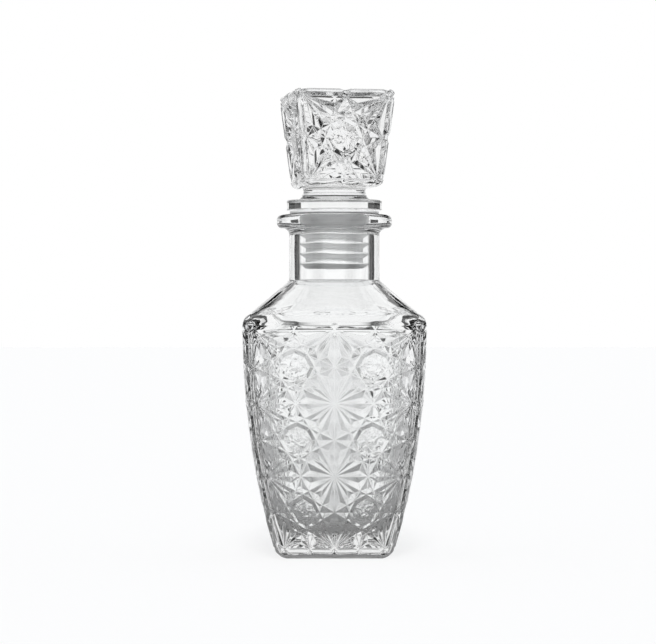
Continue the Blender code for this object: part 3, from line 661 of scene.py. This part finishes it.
def bottle_mesh():
    """The bottle as one closed skin: sides, foot, shoulder, neck, lip, bore and inside."""
    body = Block(
        body_half_width,
        body_corner_radius,
        CELLS_ACROSS,
        CELLS_UP,
        PATTERN_FOOT,
        PATTERN_TOP,
        PATTERN_DEPTH,
        PATTERN_BORDER,
    )
    body.low_deepening = LOW_DEEPENING
    body.panels()
    body.corner_bands()

    below = body.border_ring(0, PATTERN_FOOT - PATTERN_BORDER)
    start = math.acos(1.0 - min((PATTERN_FOOT - PATTERN_BORDER) / FOOT_EDGE_RADIUS, 1.0))
    for step in range(ROUND_STEPS - 1, -1, -1):
        level = FOOT_EDGE_RADIUS * (1.0 - math.cos(start * step / ROUND_STEPS))
        ring = body.ring(level, notch_left(PATTERN_FOOT - PATTERN_BORDER - level))
        body.strip(ring, below)
        below = ring
    outer_half = body_half_width(0.0)
    rest_half = outer_half - FOOT_RING_WIDTH
    slope_half = rest_half - FOOT_RECESS_DEPTH
    base_ring = below
    path = rounded_path(
        [
            (outer_half, 0.0, 0.0),
            (rest_half, 0.0, FOOT_RECESS_ROUND),
            (slope_half, FOOT_RECESS_DEPTH, FOOT_RECESS_ROUND * 2),
            (slope_half / 8, FOOT_RECESS_DEPTH * 1.15, 0.0),
        ],
        ROUND_STEPS // 2,
    )
    body.pressed = FOOT_RIPPLE
    for point in fine_path(path, FOOT_RUN, FOOT_RECESS_ROUND)[1:]:
        share = point.x / outer_half
        ring = [Vector((here.x * share, here.y * share, point.y)) for here in base_ring]
        body.strip(ring, below)
        below = ring
    body.face(below)
    body.pressed = 0.0

    above = body.border_ring(CELLS_UP, SHOULDER_FOOT)
    square = body.ring(SHOULDER_FOOT, 0.0)
    count = len(square)
    flats = len(body.notched(CELLS_ACROSS))
    first_angle = matching_angle(count, flats)
    section = circle(NECK_RADIUS, NECK_FOOT, count, first_angle)
    path = rounded_path(
        [
            (BODY_HALF_WIDTH, SHOULDER_FOOT, 0.0),
            (BODY_HALF_WIDTH, SHOULDER_CORNER, SHOULDER_EDGE_RADIUS),
            (NECK_RADIUS, NECK_FOOT, 0.0),
        ],
        ROUND_STEPS + 2,
    )
    near = Vector((BODY_HALF_WIDTH, SHOULDER_FOOT + SHOULDER_MARGIN))
    shoulder = [near, *fine_path(path[2:], SHOULDER_RUN, TURNED_MARGIN)]
    for point in shoulder:
        share = (BODY_HALF_WIDTH - point.x) / (BODY_HALF_WIDTH - NECK_RADIUS)
        ring = blend_ring(square, section, share, point.y, SHOULDER_ROUNDING)
        notched = body.ring(SHOULDER_FOOT, notch_left(point.y - SHOULDER_FOOT))
        ring = [here + (cut - plain) for here, cut, plain in zip(ring, notched, square, strict=True)]
        body.strip(above, ring)
        above = ring

    # Neck, lip and bore are turned.
    path = rounded_path(
        [
            (NECK_RADIUS, NECK_FOOT, 0.0),
            (NECK_RADIUS, LIP_FOOT, LIP_FILLET),
            (LIP_RADIUS, LIP_FOOT, LIP_EDGE_RADIUS),
            (LIP_RADIUS, MOUTH, LIP_EDGE_RADIUS),
            (BORE_RADIUS, MOUTH, MOUTH_CHAMFER),
            (BORE_RADIUS, BORE_FOOT, 0.0),
        ],
        ROUND_STEPS,
    )
    for point in fine_path(path, TURNED_RUN, TURNED_MARGIN)[1:]:
        ring = circle(point.x, point.y, count, first_angle)
        body.strip(above, ring)
        above = ring

    # Inside: from the throat out under the shoulder, down the sides and in to the floor.
    slope = SHOULDER_RISE / (BODY_HALF_WIDTH - NECK_RADIUS)
    widest = BODY_HALF_WIDTH - BODY_WALL
    corner_height = SHOULDER_CORNER - BODY_WALL * math.tan(SHOULDER_TURN / 2)
    throat_height = corner_height + (widest - BORE_RADIUS) * slope
    side_top = corner_height - INNER_SHOULDER_RADIUS * math.tan(SHOULDER_TURN / 2)
    flat_steps, arc_steps = flats - 1, CORNER_STEPS + 1
    inner_square = rounded_square(
        arc_half_width(side_top) - BODY_WALL, INNER_CORNER_RADIUS, side_top, flat_steps, arc_steps
    )
    bore = circle(BORE_RADIUS, throat_height, count, first_angle)
    path = rounded_path(
        [
            (BORE_RADIUS, BORE_FOOT, 0.0),
            (BORE_RADIUS, throat_height, INNER_SHOULDER_RADIUS / 2),
            (widest, corner_height, INNER_SHOULDER_RADIUS),
            (widest, side_top, 0.0),
        ],
        ROUND_STEPS,
    )
    for point in fine_path(path, SHOULDER_RUN, INNER_MARGIN)[1:]:
        if point.y < side_top + INNER_MARGIN / 6:
            break
        share = (widest - point.x) / (widest - BORE_RADIUS)
        ring = blend_ring(inner_square, bore, share, point.y, SHOULDER_ROUNDING)
        fade = min(1.0, (point.x - BORE_RADIUS) / WALL_RIPPLE_START)
        ring = rippled(ring, WALL_RIPPLE_SIZE, WALL_RIPPLE_DEPTH * fade)
        body.strip(ring, above)
        above = ring
    body.surface = 1.0
    foot = FLOOR_THICKNESS + INNER_FLOOR_RADIUS
    for step in range(SIDE_STEPS + 1):
        level = side_top + (foot - side_top) * step / SIDE_STEPS
        half = arc_half_width(level) - BODY_WALL
        ring = rounded_square(half, INNER_CORNER_RADIUS, level, flat_steps, arc_steps)
        ring = rippled(ring, WALL_RIPPLE_SIZE, WALL_RIPPLE_DEPTH)
        body.strip(ring, above)
        above = ring
    for step in range(ROUND_STEPS, -1, -1):
        angle = math.pi / 2 * step / ROUND_STEPS
        level = FLOOR_THICKNESS + INNER_FLOOR_RADIUS * (1.0 - math.cos(angle))
        inset = INNER_FLOOR_RADIUS * (1.0 - math.sin(angle))
        half = arc_half_width(level) - BODY_WALL - inset
        radius = max(INNER_CORNER_RADIUS - inset, INNER_CORNER_RADIUS / 5)
        ring = rounded_square(half, radius, level, flat_steps, arc_steps)
        ring = rippled(ring, WALL_RIPPLE_SIZE, WALL_RIPPLE_DEPTH)
        if step < ROUND_STEPS:
            body.strip(ring, above)
        above = ring
    middle = Vector((0.0, 0.0, FLOOR_THICKNESS))
    floor_ring = above
    for share in FLOOR_SHARES:
        ring = []
        for point in floor_ring:
            spot = middle.lerp(point, share)
            dip = noise.noise(spot / FLOOR_RIPPLE_SIZE) * FLOOR_RIPPLE_DEPTH
            ring.append(Vector((spot.x, spot.y, FLOOR_THICKNESS + dip)))
        body.strip(ring, above)
        above = ring
    body.face(above)
    body.clear_corners()
    return body.weld(FACET_EDGE)


def stopper_mesh():
    """The stopper as one closed skin: faceted head, stem, disc and plug."""

    def drawn_in(z):
        """How far the head's rounded top and foot edges draw in at a height."""
        return foot_inset(HEAD_TOP - z, HEAD_CORNER_RADIUS) + foot_inset(z - HEAD_FOOT, HEAD_FOOT_RADIUS)

    def half_at(z):
        """Half the head's width at a height."""
        share = (z - HEAD_FOOT) / HEAD_HEIGHT
        return HEAD_FOOT_HALF_WIDTH + (HEAD_TOP_HALF_WIDTH - HEAD_FOOT_HALF_WIDTH) * share - drawn_in(z)

    def radius_at(z):
        """Radius of the head's corners at a height."""
        return max(HEAD_CORNER_RADIUS - drawn_in(z), 0.0)

    top_row = HEAD_TOP - HEAD_CORNER_RADIUS
    foot_row = HEAD_FOOT + HEAD_FOOT_RADIUS + HEAD_FOOT_BORDER
    head = Block(half_at, radius_at, 1, 1, foot_row, top_row, HEAD_PATTERN_DEPTH, HEAD_BORDER)
    beside = Vector((HEAD_OFFSET, 0.0, 0.0))
    head.shift = beside
    head.button_rise = HEAD_BUTTON_RISE
    head.panels()
    head.corner_bands()

    below = head.border_ring(0, HEAD_FOOT + HEAD_FOOT_RADIUS)
    for step in range(ROUND_STEPS - 1, -1, -1):
        angle = math.pi / 2 * step / ROUND_STEPS
        level = HEAD_FOOT + HEAD_FOOT_RADIUS * (1.0 - math.cos(angle))
        fading = notch_left(HEAD_FOOT + HEAD_FOOT_RADIUS - level) if step else 0.0
        ring = head.ring(level, fading)
        head.strip(ring, below)
        below = ring

    # Stem, disc and plug are turned, and the head's level foot runs in to the stem.
    head.shift = Vector((0.0, 0.0, 0.0))
    below = [point + beside for point in below]
    count = len(below)
    flats = len(head.notched(1))
    first_angle = matching_angle(count, flats)
    stem = circle(STEM_RADIUS + STEM_HEAD_FLARE, HEAD_FOOT, count, first_angle)
    for share in HEAD_FOOT_SHARES:
        foot = [point + beside for point in head.ring(HEAD_FOOT, 0.0)]
        ring = blend_ring(foot, stem, share, HEAD_FOOT)
        head.strip(ring, below)
        below = ring
    path = rounded_path(
        [
            (STEM_RADIUS + STEM_HEAD_FLARE, HEAD_FOOT, 0.0),
            (STEM_RADIUS, HEAD_FOOT, STEM_HEAD_FILLET),
            (STEM_RADIUS, DISC_TOP, STEM_DISC_FILLET),
            (DISC_RADIUS, DISC_TOP, DISC_EDGE_RADIUS),
            (DISC_RADIUS, DISC_FOOT, DISC_EDGE_RADIUS),
            (PLUG_RADIUS, DISC_FOOT, PLUG_FILLET),
            (PLUG_RADIUS, PLUG_FOOT, PLUG_END_RADIUS),
            (PLUG_RADIUS / 8, PLUG_FOOT, 0.0),
        ],
        ROUND_STEPS,
    )
    for point in fine_path(path, TURNED_RUN, STOPPER_MARGIN)[1:]:
        ring = circle(point.x, point.y, count, first_angle)
        head.strip(ring, below)
        below = ring
    head.face(below)

    head.shift = beside
    turns = head.angles
    above = head.border_ring(1, top_row + HEAD_CORNER_RADIUS * math.sin(turns[0]))
    for angle, fading in list(zip(turns, head.fading, strict=True))[1:]:
        level = top_row + HEAD_CORNER_RADIUS * math.sin(angle)
        ring = head.ring(level, fading)
        if angle > math.pi / 4:
            plain = head.ring(level, 0.0)
            sunk = []
            for here, base in zip(ring, plain, strict=True):
                sunk.append(Vector((base.x, base.y, level - (here - base).length)))
            ring = sunk
        head.strip(above, ring)
        above = ring

    reach = head.half_at(top_row) - HEAD_CORNER_RADIUS
    sheet = star_sheet(1, 1)
    for facet in sheet.faces:
        points = []
        for vert in facet.verts:
            sunk = head.sunk(vert)
            x, y = ((2 * place - 1) * reach for place in vert.co.xy)
            points.append(Vector((x, y, HEAD_TOP - sunk)))
        head.face(points, True)
    sheet.free()
    per_quarter = flats + len(head.angles)
    for quarter in range(4):
        turn = Matrix.Rotation(quarter * math.pi / 2, 3, "Z")
        valley = []
        for half_step in range(3):
            valley.append(turn @ Vector(((half_step - 1) * reach, -reach, HEAD_TOP - head.rim)))
        start = quarter * per_quarter
        head.edge_strip(valley, above[start : start + flats])
        for step in range(len(head.angles) + 1):
            here = (start + flats - 1 + step) % count
            after = (here + 1) % count
            head.face((valley[-1], above[here], above[after]))
    bm = head.weld(FACET_EDGE)
    bmesh.ops.rotate(bm, verts=bm.verts, cent=(0, 0, 0), matrix=Matrix.Rotation(HEAD_TURN, 3, "Z"))
    return bm


def sleeve_mesh():
    """The sealing sleeve, turned from its outline. Its fins are a little wavy, as soft ones are."""
    soft = SLEEVE_EDGE
    outline = [
        (SLEEVE_BORE, (FLANGE_TOP + SLEEVE_FOOT) / 2, 0.0),
        (SLEEVE_BORE, FLANGE_TOP, soft),
        (SLEEVE_FLANGE_RADIUS, FLANGE_TOP, soft * 2),
        (SLEEVE_FLANGE_RADIUS, FLANGE_FOOT, soft * 2),
        (FIN_RADIUS, FLANGE_FOOT, soft * 2),
        (FIN_RADIUS, MOUTH - COLLAR_DEPTH, soft * 2),
        (SLEEVE_RADIUS, MOUTH - COLLAR_DEPTH, soft * 2),
    ]
    for fin in range(FIN_COUNT - 1, -1, -1):
        root = SLEEVE_FOOT + fin * FIN_PITCH
        tip = root + FIN_LIFT
        outline.append((SLEEVE_RADIUS, root + FIN_THICKNESS, soft * 2))
        outline.append((FIN_RADIUS, tip + FIN_THICKNESS, soft))
        outline.append((FIN_RADIUS, tip, soft))
        if fin:
            outline.append((SLEEVE_RADIUS, root, soft * 2))
    outline.append((SLEEVE_RADIUS, SLEEVE_FOOT, 0.0))
    outline.append((SLEEVE_BORE, SLEEVE_FOOT, soft))
    outline.append((SLEEVE_BORE, (FLANGE_TOP + SLEEVE_FOOT) / 2, 0.0))
    path = fine_path(rounded_path(outline, SLEEVE_ROUND_STEPS), SLEEVE_RUN, SLEEVE_MARGIN)[:-1]
    bm = bmesh.new()
    rings = []
    for point in path:
        ring = []
        for spot in circle(point.x, point.y, SLEEVE_STEPS, 0.0):
            reach = max(0.0, (point.x - SLEEVE_RADIUS) / (FIN_RADIUS - SLEEVE_RADIUS))
            wave = 0.0
            if point.x > SLEEVE_RADIUS and point.y < MOUTH - COLLAR_DEPTH - FIT_GAP:
                place = Vector((spot.x, spot.y, spot.z * FIN_WAVE_SLANT)) / FIN_WAVE_SIZE
                wave = noise.noise(place) * FIN_WAVE_HEIGHT * reach
            ring.append(bm.verts.new((spot.x, spot.y, spot.z + wave)))
        rings.append(ring)
    for first, second in zip(rings, [*rings[1:], rings[0]], strict=True):
        for index in range(SLEEVE_STEPS):
            after = (index + 1) % SLEEVE_STEPS
            bm.faces.new((first[index], first[after], second[after], second[index]))
    bmesh.ops.recalc_face_normals(bm, faces=bm.faces)
    return bm


def piece_from(bm, name, node, body, material):
    """Makes a piece that stands for a solid and rides on its body."""
    mesh = bpy.data.meshes.new(name)
    bmesh.ops.triangulate(bm, faces=[face for face in bm.faces if len(face.verts) > 4])
    bm.to_mesh(mesh)
    bm.free()
    mesh.shade_smooth()
    made = bpy.data.objects.new(name, mesh)
    bpy.context.scene.collection.objects.link(made)
    mesh.materials.append(material)
    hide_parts(node)
    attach(made, body)
    return made


def node_of(tree, kind, **values):
    """Adds a shader node and sets its input values."""
    made = tree.nodes.new(kind)
    for name, value in values.items():
        made.inputs[name.replace("_", " ")].default_value = value
    return made


def linked(tree, kind, source, target, **values):
    """Adds a shader node whose input, named by target, comes from a source."""
    made = node_of(tree, kind, **values)
    tree.links.new(source, made.inputs[target])
    return made


def attribute(tree, name):
    """The value that a mesh's faces carry under a name."""
    made = tree.nodes.new("ShaderNodeAttribute")
    made.attribute_name = name
    return made.outputs["Fac"]


def smooth_step(tree, value, start, end, low, high):
    """Carries a value from low to high, smoothly, as it goes from start to end."""
    made = node_of(tree, "ShaderNodeMapRange", From_Min=start, From_Max=end, To_Min=low, To_Max=high)
    made.interpolation_type = "SMOOTHSTEP"
    tree.links.new(value, made.inputs["Value"])
    return made.outputs["Result"]


def calculate(tree, operation, first, second=None):
    """One step of arithmetic on a value."""
    made = tree.nodes.new("ShaderNodeMath")
    made.operation = operation
    tree.links.new(first, made.inputs[0])
    if isinstance(second, (int, float)):
        made.inputs[1].default_value = second
    elif second is not None:
        tree.links.new(second, made.inputs[1])
    return made.outputs[0]


def mixed(tree, share, first, second):
    """A mix of two shaders, all first where the share is 0."""
    mix = tree.nodes.new("ShaderNodeMixShader")
    tree.links.new(share, mix.inputs["Fac"])
    tree.links.new(first, mix.inputs[1])
    tree.links.new(second, mix.inputs[2])
    return mix.outputs[0]


def seen_directly(tree):
    """1 for rays that see the set itself: from the camera, mirrored or through glass."""
    ray = tree.nodes.new("ShaderNodeLightPath").outputs
    first = calculate(tree, "MAXIMUM", ray["Is Camera Ray"], ray["Is Glossy Ray"])
    return calculate(tree, "MAXIMUM", first, ray["Is Transmission Ray"])


def glass_material(name):
    """Clear pressed glass with a mould ripple, rippled buttons and a worn inside. Lamps shine through."""
    made = bpy.data.materials.new(name)
    made.use_nodes = True
    tree = made.node_tree
    tree.nodes.clear()
    out = tree.nodes.new("ShaderNodeOutputMaterial")
    glass = node_of(
        tree, "ShaderNodeBsdfPrincipled", Base_Color=GLASS_TINT, IOR=GLASS_IOR, Transmission_Weight=1.0
    )
    worn = smooth_step(tree, attribute(tree, "matte"), 0.0, 1.0, 0.0, INNER_ROUGHNESS)
    tree.links.new(worn, glass.inputs["Roughness"])
    place = tree.nodes.new("ShaderNodeTexCoord").outputs["Object"]
    wide = linked(tree, "ShaderNodeTexNoise", place, "Vector", Scale=GLASS_RIPPLE_GRAIN, Detail=2.0)
    mould = linked(tree, "ShaderNodeBump", wide.outputs["Fac"], "Height", Distance=GLASS_RIPPLE_HEIGHT)
    mould.inputs["Strength"].default_value = GLASS_RIPPLE
    fine = linked(tree, "ShaderNodeTexNoise", place, "Vector", Scale=BUTTON_RIPPLE_GRAIN, Detail=1.0)
    fine.inputs["Distortion"].default_value = BUTTON_RIPPLE_TWIST
    pressed = linked(tree, "ShaderNodeBump", fine.outputs["Fac"], "Height", Distance=BUTTON_RIPPLE_HEIGHT)
    strength = calculate(tree, "MULTIPLY", attribute(tree, "button"), BUTTON_RIPPLE)
    tree.links.new(strength, pressed.inputs["Strength"])
    tree.links.new(mould.outputs["Normal"], pressed.inputs["Normal"])
    tree.links.new(pressed.outputs["Normal"], glass.inputs["Normal"])
    clear = tree.nodes.new("ShaderNodeBsdfTransparent")
    clear.inputs["Color"].default_value = (SHADOW_CLEAR, SHADOW_CLEAR, SHADOW_CLEAR, 1.0)
    shadow = tree.nodes.new("ShaderNodeLightPath").outputs["Is Shadow Ray"]
    tree.links.new(mixed(tree, shadow, glass.outputs[0], clear.outputs[0]), out.inputs["Surface"])
    body = node_of(tree, "ShaderNodeVolumeAbsorption", Color=(0.0, 0.0, 0.0, 1.0), Density=GLASS_DENSITY)
    tree.links.new(body.outputs["Volume"], out.inputs["Volume"])
    return made


def sleeve_material():
    """Milky soft plastic that lets light through."""
    made = bpy.data.materials.new("translucent_sealing_plastic")
    made.use_nodes = True
    tree = made.node_tree
    shader = tree.nodes["Principled BSDF"]
    shader.inputs["Roughness"].default_value = PLASTIC_ROUGHNESS
    shader.inputs["IOR"].default_value = PLASTIC_IOR
    shader.inputs["Transmission Weight"].default_value = PLASTIC_TRANSMISSION
    place = tree.nodes.new("ShaderNodeTexCoord").outputs["Object"]
    cloud = linked(tree, "ShaderNodeTexNoise", place, "Vector", Scale=PLASTIC_CLOUD_GRAIN, Detail=3.0)
    cloud.inputs["Roughness"].default_value = 0.55
    tone = linked(tree, "ShaderNodeValToRGB", cloud.outputs["Fac"], "Fac")
    tone.color_ramp.elements[0].position = PLASTIC_CLOUD_FROM
    tone.color_ramp.elements[0].color = PLASTIC_DARK
    tone.color_ramp.elements[1].position = PLASTIC_CLOUD_TO
    tone.color_ramp.elements[1].color = WHITE
    relief = linked(tree, "ShaderNodeBump", cloud.outputs["Fac"], "Height", Distance=PLASTIC_RELIEF_HEIGHT)
    relief.inputs["Strength"].default_value = PLASTIC_RELIEF
    tree.links.new(tone.outputs["Color"], shader.inputs["Base Color"])
    tree.links.new(relief.outputs["Normal"], shader.inputs["Normal"])
    return made


def make_world():
    """White panels all round the horizon with narrow gaps between them, a dark band, and a white top."""
    world = bpy.data.worlds.new("studio")
    bpy.context.scene.world = world
    world.use_nodes = True
    tree = world.node_tree
    tree.nodes.clear()
    out = tree.nodes.new("ShaderNodeOutputWorld")
    place = tree.nodes.new("ShaderNodeTexCoord").outputs["Generated"]
    split = linked(tree, "ShaderNodeSeparateXYZ", place, 0).outputs
    panels = smooth_step(tree, split["Z"], HORIZON_SINE, DARK_SINE, 1.0, 0.0)
    top = smooth_step(tree, split["Z"], TOP_FROM, TOP_TO, 0.0, 1.0)
    across = calculate(tree, "ABSOLUTE", split["X"])
    enter = smooth_step(tree, across, GAP_FROM - GAP_EDGE, GAP_FROM, 0.0, 1.0)
    leave = smooth_step(tree, across, GAP_TO, GAP_TO + GAP_EDGE, 1.0, 0.0)
    level = smooth_step(tree, calculate(tree, "ABSOLUTE", split["Z"]), GAP_LEVEL, GAP_END, 1.0, 0.0)
    gap = calculate(tree, "MULTIPLY", calculate(tree, "MULTIPLY", enter, leave), level)
    gaps = smooth_step(tree, gap, 0.0, 1.0, 1.0, GAP_TONE)
    tone = calculate(tree, "MULTIPLY", calculate(tree, "MAXIMUM", panels, top), gaps)
    shown = linked(tree, "ShaderNodeBackground", tone, "Strength", Color=WHITE)
    light = node_of(tree, "ShaderNodeBackground", Color=AMBIENT_COLOUR, Strength=AMBIENT)
    plain = node_of(tree, "ShaderNodeBackground", Color=WHITE)
    lit = mixed(tree, seen_directly(tree), light.outputs[0], shown.outputs[0])
    camera_ray = tree.nodes.new("ShaderNodeLightPath").outputs["Is Camera Ray"]
    tree.links.new(mixed(tree, camera_ray, lit, plain.outputs[0]), out.inputs["Surface"])


def make_floor():
    """A plain white floor that keeps the object's shadow. Through glass and in reflections it has painted
    shade, a painted shadow pool that is greyer near the object.
    """
    bm = bmesh.new()
    bmesh.ops.create_grid(bm, x_segments=1, y_segments=1, size=FLOOR_SIZE)
    mesh = bpy.data.meshes.new("floor")
    bm.to_mesh(mesh)
    bm.free()
    floor = bpy.data.objects.new("floor", mesh)
    bpy.context.scene.collection.objects.link(floor)
    made = bpy.data.materials.new("white_floor_with_painted_shade")
    made.use_nodes = True
    tree = made.node_tree
    tree.nodes.clear()
    out = tree.nodes.new("ShaderNodeOutputMaterial")
    place = tree.nodes.new("ShaderNodeTexCoord").outputs["Object"]
    reach = linked(tree, "ShaderNodeVectorMath", place, 0)
    reach.operation = "LENGTH"
    # Painted shade for rays through glass and mirrored rays: darkest near the object, a painted shadow
    # pool.
    shade_pool_rise = calculate(tree, "POWER", reach.outputs["Value"], FLOOR_SHADE_POOL_POWER)
    shade_pool_rise = calculate(tree, "MINIMUM", calculate(tree, "MULTIPLY", shade_pool_rise, FLOOR_SHADE_POOL_SCALE), 1.0)
    tone = calculate(tree, "MAXIMUM", shade_pool_rise, FLOOR_SHADE_POOL_DARKEST)
    ray = tree.nodes.new("ShaderNodeLightPath").outputs
    through = calculate(tree, "MAXIMUM", ray["Is Glossy Ray"], ray["Is Transmission Ray"])
    painted_darkening = calculate(tree, "MULTIPLY", through, calculate(tree, "SUBTRACT", tone, 1.0))
    shade = calculate(tree, "ADD", painted_darkening, 1.0)
    plain = tree.nodes.new("ShaderNodeBsdfDiffuse")
    # The painted shade darkens the floor's colour and its glow alike.
    tree.links.new(calculate(tree, "MULTIPLY", shade, FLOOR_COLOUR), plain.inputs["Color"])
    shine = calculate(tree, "MULTIPLY", shade, FLOOR_GLOW)
    strength = calculate(tree, "MULTIPLY", seen_directly(tree), shine)
    glow = linked(tree, "ShaderNodeEmission", strength, "Strength", Color=WHITE)
    add = tree.nodes.new("ShaderNodeAddShader")
    tree.links.new(plain.outputs[0], add.inputs[0])
    tree.links.new(glow.outputs[0], add.inputs[1])
    tree.links.new(add.outputs[0], out.inputs["Surface"])
    mesh.materials.append(made)


def make_key():
    """One broad soft light from above the camera, so that the shadow falls behind the object."""
    data = bpy.data.lights.new("key", "SUN")
    data.energy = KEY_POWER
    data.angle = math.radians(KEY_ANGLE)
    lamp = bpy.data.objects.new("key", data)
    height = math.radians(KEY_HEIGHT)
    lamp.location = (0.0, -math.cos(height), math.sin(height))
    lamp.rotation_euler = (math.pi / 2 - height, 0.0, 0.0)
    lamp.visible_glossy = False
    lamp.visible_transmission = False
    bpy.context.scene.collection.objects.link(lamp)


def make_camera():
    """The photograph's view: level, from straight in front."""
    data = bpy.data.cameras.new("camera")
    data.sensor_width = SENSOR_WIDTH
    data.lens = data.sensor_width * CAMERA_DISTANCE / (FRAME_WIDTH * PHOTO_SCALE)
    data.clip_start = CAMERA_NEAREST
    camera = bpy.data.objects.new("camera", data)
    camera.location = (CAMERA_SIDE, -CAMERA_DISTANCE, CAMERA_HEIGHT)
    camera.rotation_euler = (math.pi / 2, 0.0, 0.0)
    bpy.context.scene.collection.objects.link(camera)
    bpy.context.scene.camera = camera


make_camera()
make_world()
make_floor()
make_key()

bottle_glass = glass_material("clear_pressed_glass")
head_glass = glass_material("clear_stopper_glass")
plastic = sleeve_material()
piece_from(bottle_mesh(), "pressed_glass_bottle", "glass_bottle", "bottle", bottle_glass)
piece_from(stopper_mesh(), "faceted_glass_stopper", "glass_stopper", "stopper", head_glass)
piece_from(sleeve_mesh(), "ribbed_sealing_sleeve", "sealing_sleeve", "sleeve", plastic)

bpy.context.scene.view_settings.view_transform = "Standard"
